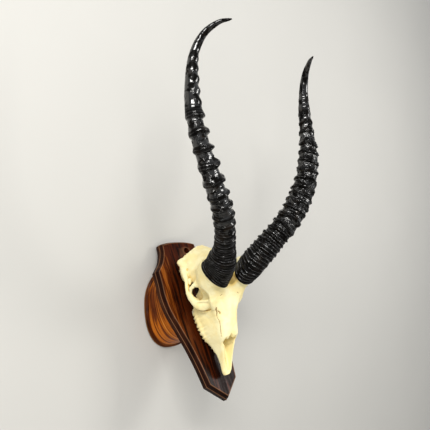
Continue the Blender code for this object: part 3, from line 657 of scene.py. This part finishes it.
skullSizes = {
    # boxes, in rows of (along, top, bottom, half width at the top, half width at the bottom)
    "face": [
        (44, 41, 13, 14, 13), (60, 54.5, 9, 18.6, 16), (67, 61.5, 8, 22.5, 18.5), (75, 65, 7, 22.8, 22),
        (90, 70.5, 6, 22.6, 26), (110, 77, 6, 24.6, 28.5), (125, 83.5, 6.5, 29.5, 30), (138, 89, 9, 36, 27),
        (147, 93, 26, 38, 18), (158, 96, 45, 38, 20), (166, 98, 55, 38, 24)],
    "nose": [
        (-12, 75, 15.5, 9, 4), (5, 75, 16.2, 6.5, 6), (24, 75, 19, 9.6, 8.5), (44, 75, 20.5, 12, 11),
        (62, 75, 19, 15, 13)],
    "noseDepth": [
        (56, 52, 19, 15, 13), (66, 54, 18.5, 18, 15), (90, 64, 20, 19.5, 18), (112, 69, 26, 18, 16)],
    # bars, in rows of (across, along, out, radius)
    "jaw": [
        (15.5, 75, 12.5, 5.5), (18.5, 84, 11.5, 6.5), (21.8, 98, 11.5, 7), (23.5, 115, 11.5, 7.2),
        (23.5, 132, 12, 7.2), (22, 141, 14, 6.5)],
    "noseRidge": [(0, 50, 17, 1.2), (0, 70, 19, 1.6), (0, 100, 21, 3)],
    "noseScroll": [(13, 74, 40, 2.5), (11, 92, 42, 4), (10, 106, 45, 5)],
    # balls: centre, radii, then pitch and yaw in degrees
    "faceHollow": ((41, 106, 42), (12, 26, 17), 14, 4),
    "ragged": (1.5, 1.0), "raggedBand": (19, 8),  # waves of the lower edge; bands go from none to full
    # how far up the side the cheek plate starts at each height, and where the roof ends at each width
    "crease": [(18, 146), (25, 140), (35.5, 130.5), (50, 124.8), (60, 125), (70, 128)], "plateRise": 1.7,
    "plateStep": 2.2, "plateBands": [(70, 62), (18, 26), (22, 28)],  # out twice and across
    "roofEnd": [(0, 70), (2.5, 68.5), (8.5, 61.5), (12.5, 66), (17, 61), (22, 58.5), (30, 58)],
    "roofSetBack": 16, "roofBand": (48, 38),
    # name, what is done, the blend in millimetres and the shape, in their order
    "forms": [
        ("snout", "join", 3, "box", [
            (3, 16.5, 11.5, 7.5, 8), (6, 18.5, 11.8, 9.5, 9.5), (10, 22, 13, 11, 11.5),
            (26, 31, 16.5, 12.5, 12.5), (44, 42, 17.5, 15, 14.5), (60, 52, 15, 17.5, 17),
            (70, 56, 15, 19, 19)], 4.5, 2.5),
        ("brow", "join", 6, "box", [
            (100, 69, 58, 22, 23), (114, 77.5, 60, 25.5, 27.5), (126, 83, 63, 33, 34),
            (138, 89, 66, 41.5, 40), (150, 94, 70, 47, 45), (162, 97, 72, 50, 47),
            (172, 93, 70, 48, 44)], 8),
        ("forehead", "join", 8, "ball", (0, 167, 74), (45.5, 32, 25), 8),
        ("braincase", "join", 10, "ball", (0, 205, 59), (35.5, 51, 36), -12),
        ("base", "join", 7, "box", [
            (143, 62, 27, 24, 11), (165, 62, 29, 28, 11), (185, 60, 23, 31, 11), (200, 50, 18, 32, 19),
            (226, 48, 18, 32, 21), (242, 50, 20, 25, 13)], 8),
        ("nape dome", "join", 7, "ball", (0, 233, 46), (37, 18.5, 27), -20),
        ("temple side", "join", 5, "ball", (33, 208, 44), (7, 22, 16)),
        ("nape", "join", 5, "bar", [
            (0, 252, 62.5, 4.5), (16, 249, 60, 4.5), (30, 242, 50.5, 4.5), (38, 236.5, 40, 4.5),
            (40, 235, 31, 5.5)]),
        ("ear", "join", 5, "bar", [
            (40, 235, 31, 5.5), (37, 225, 34, 8.5), (36, 211, 29, 8.5), (43, 202, 36, 5.5)]),
        ("ear root", "join", 4, "ball", (34, 201, 31), (10, 10, 9)),
        ("seat back", "join", 14, "bar", [(27, 188, 74, 20), (45, 189, 98, 18), (52, 192, 120, 18)]),
        ("seat", "join", 12, "bar", [(27, 162, 78, 25), (37, 169, 94, 24), (42.5, 172, 120, 22.5)]),
        ("cheek root", "join", 5, "ball", (33, 137, 50), (11, 12, 18), 0, -18),
        ("brow rim", "join", 5, "bar", [
            (31, 122, 70, 3), (36, 127, 74.5, 4), (40.5, 133, 80, 4), (44.5, 146, 86, 4), (48, 157, 87, 4.5),
            (48.5, 167, 81, 5.5)]),
        ("cheek front", "join", 5, "bar", [(33, 131, 46.5, 8), (41, 142, 42, 8.6), (48.5, 157, 37.8, 5.8)]),
        ("eye socket", "cut", 2.0, "ball", (50, 153, 65), (28, 17.5, 23), 30, -24),
        ("socket floor", "cut", 3.0, "ball", (44, 153, 47), (12, 10, 12), 0, -20),
        ("temple", "cut", 3.0, "ball", (45.5, 190, 54), (14, 18.5, 19), 0, -6),
        ("ear hole", "cut", 1.0, "ball", (39.5, 214, 43), (3, 2.4, 2.6)),
        ("ear pit", "cut", 1.0, "ball", (41, 222, 33), (2.6, 2, 3)),
        ("socket wall", "join", 4, "ball", (14, 148, 52), (14, 23, 26)),
        ("wall fill", "join", 3, "bar", [
            (23, 170, 60, 6), (23, 163, 52, 6), (23.5, 157.5, 41, 6), (22, 151, 43, 6)]),
        ("wall edge", "join", 4, "bar", [
            (27, 172, 54, 3.5), (27, 167, 46, 2.6), (26, 163.5, 39.5, 2.4), (26.5, 161, 32.5, 2.2),
            (25, 155, 33, 3), (24, 148, 38, 5)]),
        ("cheek arch", "join", 3, "bar", [
            (41, 142, 42, 8.6), (48.5, 157, 37.8, 5.8), (51.5, 167, 37.8, 4.8), (51, 176, 39, 4.4),
            (49, 189, 41.5, 4.6), (44.5, 202, 37, 5.2), (38, 212, 31, 7)]),
        ("eye bar", "join", 2.5, "bar", [
            (47.5, 166, 82, 5), (50, 170.5, 71, 4), (52, 174, 61, 2.6), (53.5, 172, 50, 2.4)]),
        ("temple front", "join", 4, "ball", (35, 179, 63), (8, 6.5, 8)),
        ("eye post", "join", 3, "bar", [(46, 181, 68, 4.5), (50.3, 176.8, 61.5, 2.7), (51.5, 175, 57, 2.2)]),
        ("arch post", "join", 3, "bar", [(47, 190, 48, 4), (50.8, 182, 50, 2.8)]),
        ("eye rim", "join", 4.5, "bar", [
            (47.5, 146, 46.4, 2.4), (45.6, 143.5, 54.2, 2.0), (42.2, 139.5, 65.6, 1.8), (39, 136, 76.5, 2.0),
            (40.5, 140, 81.6, 2.6), (44, 149, 83, 2.8), (47.5, 159, 79.6, 2.8), (49.5, 168, 72.6, 2.8),
            (51.8, 174, 60.5, 2.3), (53.2, 171.5, 51, 2.2), (51.5, 163, 43, 2.4), (49.5, 153, 42.8, 2.6),
            (47.5, 146, 46.4, 2.4)]),
        ("nose passage", "cut", 1.4, "nose"),
        ("snout slit", "cut", 1.2, "bar", [
            (5.2, 24, 16.5, 0.3), (7.4, 34, 17.5, 0.7), (8.4, 46, 18, 0.8), (8.2, 54, 17.5, 0.4)]),
        ("middle gap", "cut", 1.0, "bar", [(0, 8, 19.5, 0.7), (0, 24, 21.5, 0.9), (0, 52, 24, 0.8)]),
        ("palate", "cut", 3, "box", [
            (40, 11, -9, 7, 8), (60, 12, -9, 8.5, 8.5), (84, 13, -9, 10, 10), (112, 14, -9, 13, 13),
            (152, 17, -9, 13, 13)], 5),
        ("ear drum", "join", 3, "ball", (22, 212, 15), (9, 14, 10.5), 10),
        ("spur", "join", 4, "bar", [(32, 226, 28, 6.5), (26, 228, 14, 4), (22, 227, 4.2, 2.8)]),
        ("neck knuckle", "join", 4, "ball", (13.5, 244, 26), (9, 8.5, 12.5), 20),
        ("neck hole", "cut", 3, "bar", [(0, 226, 34, 7.5), (0, 272, 36, 10)]),
        ("brow pit", "cut", 1.0, "bar", [
            (22, 139, 90.5, 0.8), (20.6, 136, 86.5, 1.0), (18.8, 132, 84.5, 0.8)]),
    ],
    # thin dark lines, in rows as of a bar, drawn on the side or on the roof: sutures, and the first side
    # line, along the cheek plate's crease, is also a painted shadow of its step
    "sideLines": [
        [(34, 143, 18, 0.5), (36, 136.5, 23, 0.6), (38, 131, 34, 0.6), (39, 127.8, 42, 0.8),
         (36, 124.2, 49, 0.9), (32, 122.8, 56, 1.0), (31, 123, 62, 0.4)],
        [(30, 119.7, 76.5, 0.5), (29, 116.5, 72, 0.9), (28, 113.5, 71, 1.0), (27, 110, 67.5, 0.7),
         (26, 106, 65.3, 0.4)],
        [(27, 114, 74, 0.4), (25, 110.8, 75.5, 0.7), (24, 107.5, 74, 0.3)],
        [(25.8, 104.4, 65.1, 0.3), (24.5, 98.7, 66.2, 0.4), (22.9, 89.7, 63, 0.3), (22.8, 81, 60, 0.5),
         (22, 69, 55.5, 0.3)],
    ],
    "roofLines": [
        [(28, 137.3, 90.2, 0.3), (25, 137.9, 90.5, 0.6), (21.5, 139.2, 90.7, 0.8)],
        [(5.6, 12, 19, 0.1), (8.6, 36, 33, 0.3), (10.5, 58, 46, 0.1)],
        [(3.4, 12, 18, 0), (4.4, 34, 21, 0.2), (5, 62, 24, 0.1)],
    ],
    "lineFlatness": 0.25, "lineWander": 0.5, "lineDepth": 0.5, "lineWidth": 0.8,
    "seatGap": 0.3, "boardGap": 0.3,
    # relief in millimetres; the ribs over the roots have bands out, along twice and across
    "rootBands": [(34, 18), (72, 84), (148, 138), (13, 17)], "ribs": 0.45, "rootStain": 0.3,
    "rough": 0.25, "grit": 0.1, "nape": (215, 235), "napeRough": 0.4, "napeGrit": 0.7,
    # recess: its start, less shares of the room that far out, then its changes
    "recess": 1.15, "room": [(0.55, 9), (0.6, 4)], "socketPale": 0.6, "seatPale": 0.8, "paintedHornShadow": 2.4,
    "lattice": 1.2, "low": (0.0, -3.0, -2.0), "high": (72.0, 264.0, 122.0),
}


def smoothMin(a, b, k):  # the smaller of two distances, blended over k millimetres
    t = np.clip(0.5 + 0.5 * (b - a) / k, 0, 1)
    return b + (a - b) * t - k * t * (1 - t)


def smoothMax(a, b, k):
    return -smoothMin(-a, -b, k)


def turnPlane(a, b, degrees):  # turned coordinates in the plane of two of them
    c, n = math.cos(math.radians(degrees)), math.sin(math.radians(degrees))
    return c * a + n * b, c * b - n * a


def ballDistance(p, centre, radii, pitch=0.0, yaw=0.0):
    # stretched ball: the length in its own radii, times that less one, over the slope of the length
    x, s, h = (p[..., n] - centre[n] for n in range(3))
    s, h = turnPlane(s, h, pitch)
    x, s = turnPlane(x, s, yaw)
    rx, rs, rh = radii
    near = np.sqrt((x / rx) ** 2 + (s / rs) ** 2 + (h / rh) ** 2)
    slope = np.sqrt((x / rx ** 2) ** 2 + (s / rs ** 2) ** 2 + (h / rh ** 2) ** 2) + 1e-6
    return near * (near - 1) / slope


def barDistance(p, rows):  # chain of cones: distance to each one's middle line, less its radius there
    best = None
    rows = np.array(rows, np.float32)
    for a, b in zip(rows[:-1], rows[1:]):
        run = b[:3] - a[:3]
        t = np.clip(((p - a[:3]) @ run) / (run @ run), 0, 1)
        gap = p - a[:3] - t[..., None] * run
        d = np.sqrt((gap * gap).sum(-1)) - (a[3] + t * (b[3] - a[3]))
        best = d if best is None else np.minimum(best, d)
    return best


def boxDistance(p, sections, k, ends=2.0):
    # box whose section changes along the board: the largest of the distances past its sides, rounded over k
    rows = np.array(sections, np.float32)
    s = p[..., 1]
    top, low, wideTop, wideLow = (np.interp(s, rows[:, 0], rows[:, n]) for n in (1, 2, 3, 4))
    share = np.clip((p[..., 2] - low) / np.maximum(top - low, 1), -0.2, 1.2)
    side = (p[..., 0] - (wideLow + (wideTop - wideLow) * share)) * 0.97
    d = smoothMax(smoothMax(p[..., 2] - top, low - p[..., 2], k), side, k)
    return smoothMax(smoothMax(d, rows[0, 0] - s, ends), s - rows[-1, 0], ends)


def noseHollow(p):
    z = skullSizes
    hollow = smoothMin(boxDistance(p, z["nose"], 4), boxDistance(p, z["noseDepth"], 6), 3)
    hollow = smoothMax(hollow, -barDistance(p, z["noseRidge"]), 2)
    return smoothMax(hollow, -barDistance(p, z["noseScroll"]), 2.5)


def rootTurn(s):  # turn of the wave over the tooth roots: even, plus a slower sine of the length
    return 0.78 * s + 0.9 * np.sin(0.31 * s)


def skullField(p):
    # the face with its ragged lower edge, cheek plate, hollow and roof's end, then the forms in their order,
    # the cuts for the horns' seats and for the board
    z = skullSizes
    x, s, h = p[..., 0], p[..., 1], p[..., 2]
    ragged = z["ragged"][0] * np.sin(rootTurn(s)) + z["ragged"][1] * np.sin(1.7 * s + 1)
    fringe = p + (ragged * easeBetween(*z["raggedBand"], h))[..., None] * np.array((0, 0, 1), np.float32)
    d = boxDistance(fringe, z["face"], 9)
    plate = easeStep((s - readTable(h, z["crease"])) / z["plateStep"]) * within(z["plateBands"], h, h, x)
    d = d - z["plateRise"] * plate
    d = smoothMax(d, -ballDistance(p, *z["faceHollow"]), 7)
    d = smoothMin(d, barDistance(fringe, z["jaw"]), 4)
    d = smoothMax(d, readTable(x, z["roofEnd"]) - s - z["roofSetBack"] * easeBetween(*z["roofBand"], h), 1.2)
    kinds = {"box": boxDistance, "bar": barDistance, "ball": ballDistance, "nose": noseHollow}
    for _, way, blend, kind, *shape in z["forms"]:
        near = kinds[kind](p, *shape)
        d = smoothMin(d, near, blend) if way == "join" else smoothMax(d, -near, blend)
    seat = unit(np.array(hornShape["seatNormal"]))
    d = smoothMax(d, (p - np.array(hornShape["path"][0])) @ seat + z["seatGap"], 0.6)
    return np.maximum(d, z["boardGap"] - h)


def latticeSurface(v, low, step):
    # closed surface where v changes sign: one point in each mixed cell, at the mean of its edge crossings,
    # and one quad across each lattice edge that crosses
    inside = v < 0
    nx, ny, nz = v.shape
    total = np.zeros((nx - 1, ny - 1, nz - 1, 3), np.float32)
    count = np.zeros(total.shape[:3], np.float32)

    def corner(c):
        return v[c[0]:nx - 1 + c[0], c[1]:ny - 1 + c[1], c[2]:nz - 1 + c[2]]

    for a in np.ndindex(2, 2, 2):
        for axis in [n for n in range(3) if not a[n]]:
            va, vb = corner(a), corner(tuple(1 if n == axis else a[n] for n in range(3)))
            cross = (va < 0) != (vb < 0)
            share = np.where(cross, va / np.where(cross, va - vb, 1), 0)
            for n in range(3):
                total[..., n] += cross * (a[n] + (share if n == axis else 0))
            count += cross
    used = count > 0
    index = np.zeros(used.shape, np.int64)
    index[used] = np.arange(used.sum())
    points = (np.argwhere(used) + total[used] / count[used][:, None]) * step + np.array(low)
    quads = []
    for axis in range(3):
        here, there = [slice(1, -1)] * 3, [slice(1, -1)] * 3
        here[axis], there[axis] = slice(0, -1), slice(1, None)
        va, vb = inside[tuple(here)], inside[tuple(there)]
        other = [n for n in range(3) if n != axis]
        for outward, hit in ((True, va & ~vb), (False, ~va & vb)):
            at = np.argwhere(hit) + np.array([0 if n == axis else 1 for n in range(3)])
            ring = []
            for shift in ((0, 0), (-1, 0), (-1, -1), (0, -1)):
                cell = at.copy()
                cell[:, other] += shift
                ring.append(index[cell[:, 0], cell[:, 1], cell[:, 2]])
            ring = np.stack(ring, 1)
            quads.append(ring[:, ::-1] if (axis == 1) == outward else ring)
    return points, np.concatenate(quads)


def skullSurface(z):
    # the field on a lattice over one half, mirrored, its surface, then small relief along the normals;
    # recess is how little room there is a short way out from each point; it sets the ochre and the painted
    # shade in the bone's colour
    step = z["lattice"] * 1
    axes = [np.arange(a, b + step, step, dtype=np.float32) for a, b in zip(z["low"], z["high"])]
    half = skullField(np.stack(np.meshgrid(*axes, indexing="ij"), -1))
    whole = np.concatenate([half[:0:-1], half])
    points, quads = latticeSurface(whole, (-(half.shape[0] - 1) * step, *z["low"][1:]), step)
    normals = pointNormals(points, quads)

    def folded(p):  # the same place on the side that the field covers
        return np.abs(p * (1, 0, 0)) + p * (0, 1, 1)

    def room(way):
        return np.clip(skullField(folded(points + normals * way)) / way, 0, 1)

    place = folded(points)
    x, s, h = place.T
    # distance to the nearest thin line, up to 5 mm, with its depth counted less than its width
    wavy = place + z["lineWander"] * lumps(points, 3, 5)[:, None]
    gap = np.full(len(points), 5.0)
    flat = z["lineFlatness"]
    for lines, squeeze in ((z["sideLines"], (flat, 1, 1)), (z["roofLines"], (1, 1, flat))):
        for rows in lines:
            gap = np.minimum(gap, barDistance(wavy * squeeze, np.array(rows) * (*squeeze, 1)))
    # ribs over the tooth roots, then less of the ochre and painted shade at the socket's wall and above it,
    # and a painted shadow of the horns on the brow between them
    rootZone = within(z["rootBands"], h, s, s, x)
    ribs = np.sin(rootTurn(s) + 1.6 * lumps(points, 10, 4)) * rootZone
    recess = z["recess"]
    for share, way in z["room"]:
        recess = recess - share * room(way)
    recess = np.clip(recess, 0, 1) + z["rootStain"] * (rootZone - ribs) * (0.6 + 0.4 * lumps(points, 5, 8))
    recess *= 1 - z["socketPale"] * hill(s, 152, 16) * hill(h, 62, 16) * easeBetween(48, 42, x)
    recess *= 1 - z["seatPale"] * easeBetween(72, 84, h) * easeBetween(24, 32, x)
    # painted shadow of the horns on the brow between them
    recess += z["paintedHornShadow"] * hill(x, 6, 12) * hill(s, 165, 11) * easeBetween(90, 97, h)
    # relief, rougher at the nape, with the ribs and the thin lines in it
    nape = easeBetween(*z["nape"], s)
    relief = (z["rough"] + z["napeRough"] * nape) * layeredLumps(points, 9, 3, 1)
    relief += z["napeGrit"] * nape * lumps(points, 4, 11) + z["grit"] * lumps(points, 2.6, 7)
    relief += z["ribs"] * ribs - z["lineDepth"] * hill(np.maximum(gap, 0), 0, z["lineWidth"])
    values = {
        "recess": np.clip(recess, 0, 1.5), "seam": gap, "inside": easeBetween(1.2, -0.6, noseHollow(place))}
    placed = points + normals * relief[:, None] + (0, noseStart, 0)
    return offBoard(placed), quads, np.zeros((0, 3), int), values


addPiece("skull_bone", skullSurface(skullSizes), bone, ["skull"])
print("skull made")

# Teeth

teeth = {
    "sizes": [  # length, width, lobes
        (8, 7, 1), (8.5, 8, 1), (8.5, 9, 1), (11, 10.5, 2), (12.5, 11, 2), (12, 10.5, 2)],
    "start": 79.0, "gap": 0.3, "spread": (14.5, 20.5), "tip": 0.9, "hollow": 2.2, "around": 56,
    "levels": [  # height above the board and share of the outline, down to the crown's edge
        (14.0, 1.0), (9, 1.0), (5, 1.0), (2.6, 0.97), (1.4, 0.92), (0.8, 0.86), (0.9, 0.76)],
    "crownShares": (0.62, 0.46, 0.3, 0.15, 0.05),
}


def toothSurface(z, side, start, middle, length, width, lobes):
    # rows of a rounded outline from the root down to the crown, then inwards over the crown, whose height
    # is two hollows a lobe between its outer and inner ridge
    a = circle(z["around"])
    along = np.cos(a) * length / 2
    waist = 1 - (0.2 if lobes == 2 else 0.04) * hill(along, 0, length * 0.13)
    ribs = 0.35 * np.cos(math.tau * along * lobes / length) * (np.sin(a) > 0.3)
    across = np.sign(np.sin(a)) * np.abs(np.sin(a)) ** 0.7 * width / 2 * waist + ribs
    rows, grooves = [], []
    for height, share in z["levels"] + [(None, share) for share in z["crownShares"]]:
        onCrown = height is None
        x, s = across * share, along * share
        dip = hill(np.abs(x) / width, 0.0, 0.2) * (0.55 + 0.45 * np.cos(math.tau * s * lobes / length))
        h = z["tip"] + z["hollow"] * dip if onCrown else np.full_like(a, height)
        rows.append(np.stack([side * (middle + x), start + length / 2 + s + noseStart, h], -1))
        grooves.append(np.clip(dip, 0, 1) * onCrown)
    points, quads, caps = roundGrid(np.array(rows))
    groove = np.append(np.array(grooves).ravel(), (0, 0.8))
    return offBoard(points), quads, caps, {"groove": groove, "root": easeBetween(4, 12, points[:, 2])}


def placeTeeth(z):
    total, start = sum(size[0] for size in z["sizes"]), z["start"]
    for number, (length, width, lobes) in enumerate(z["sizes"], 1):
        share = (start + length / 2 - z["start"]) / total
        middle = z["spread"][0] + (z["spread"][1] - z["spread"][0]) * math.sin(share * math.pi / 2)
        for word, side in (("right", 1), ("left", -1)):
            name = f"upper_tooth_{word}_{number}"
            surface = toothSurface(z, side, start, middle, length, width, lobes)
            addPiece(name + "_enamel", surface, enamel, [name])
        start += length + z["gap"]


placeTeeth(teeth)
print("teeth made")

# Stage, lights and camera

stage = {
    "paint": (0.57, 0.56, 0.53), "wallReach": 4, "wallGap": 0.0015, "windowCorners": 48,
    "floorCorners": [(-5, -6), (5, -6), (5, 3), (-5, 3)], "floorHeight": -1.35,
    "air": (0.95, 0.97, 1.0), "airStrength": 0.52,
    "lamps": [  # place, aimed at, watts, width and height, colour
        ((1.0, -1.3, 0.6), (0, -0.1, 0.1), 10, (0.5, 0.5), (1, 0.985, 0.95)),
        ((-1.1, -1.4, 1.1), (0, -0.1, 0.1), 30, (1.3, 0.3), (1, 0.985, 0.95)),
        ((-1.25, -1.3, -0.5), (0, -0.1, 0.05), 5, (0.6, 0.15), (1, 0.97, 0.92)),
        ((-1.5, -1.25, 0.05), (0, -0.1, 0.1), 1.5, (0.5, 0.08), (1, 1, 1)),
        ((-0.5, -1.6, 1.5), (0, -0.1, 0.2), 3, (0.7, 0.04), (1, 1, 1)),
    ],
    "eye": (-0.656, -0.793, 0.1645), "eyeTurn": (91.775, 0, -44.8), "lens": 39.01,
}


def plainFinish(name, colour, oneSided=False):
    finish, place, _ = newFinish(name)
    cloud = place.noise(3, 2)
    setShader(finish, {"Base Color": (cloud * 0.06 + 0.97).tinted(colour), "Roughness": 0.9})
    if oneSided:  # the wall is clear from behind
        tree = finish.node_tree
        back = place.node("ShaderNodeNewGeometry", output=6)
        clear = place.node("ShaderNodeBsdfTransparent")
        solid = Link(tree, tree.nodes["Principled BSDF"].outputs[0])
        mixed = place.node("ShaderNodeMixShader", {0: back, 1: solid, 2: clear})
        tree.links.new(mixed.socket, tree.nodes["Material Output"].inputs[0])
    return finish


def makeStage(z):
    # the wall has a round window behind the block, which lights the block's back in other views
    count = z["windowCorners"]
    across, up = np.cos(circle(count)), np.sin(circle(count))
    tall = np.where(up > 0, wedge["up"], wedge["down"])
    depth = np.full(count, z["wallGap"])
    inner = np.stack([wedge["halfWidth"] * across / 1000, depth, (wedge["middle"] + tall * up) / 1000], -1)
    outer = np.stack([z["wallReach"] * across, depth, z["wallReach"] * up], -1)
    points = np.concatenate([inner, outer]).tolist()
    faces = [(count + k, count + (k + 1) % count, (k + 1) % count, k) for k in range(count)]
    addMesh("wall", points, faces, plainFinish("wall_paint", z["paint"], True))
    corners = [(x, y, z["floorHeight"]) for x, y in z["floorCorners"]]
    addMesh("floor", corners, [(0, 1, 2, 3)], plainFinish("floor_paint", z["paint"]))
    scene = bpy.context.scene
    scene.world = world = bpy.data.worlds.new("air")
    world.use_nodes = True
    sky = world.node_tree.nodes["Background"]
    sky.inputs["Color"].default_value = (*z["air"], 1)
    sky.inputs["Strength"].default_value = z["airStrength"]
    for k, (place, target, watts, size, colour) in enumerate(z["lamps"]):
        lamp = bpy.data.lights.new(f"softbox_{k}", "AREA")
        lamp.shape, lamp.energy, lamp.color = "RECTANGLE", watts, colour
        lamp.size, lamp.size_y = size
        thing = addObject(f"softbox_{k}", lamp)
        thing.location = place
        thing.rotation_euler = (Vector(target) - Vector(place)).to_track_quat("-Z", "Y").to_euler()
    view = bpy.data.cameras.new("camera")
    view.lens, view.sensor_width = z["lens"], 36
    camera = addObject("camera", view)
    camera.location = z["eye"]
    camera.rotation_euler = [math.radians(a) for a in z["eyeTurn"]]
    scene.camera = camera
    scene.view_settings.view_transform = "Standard"


makeStage(stage)
print("stage, lights and camera made")
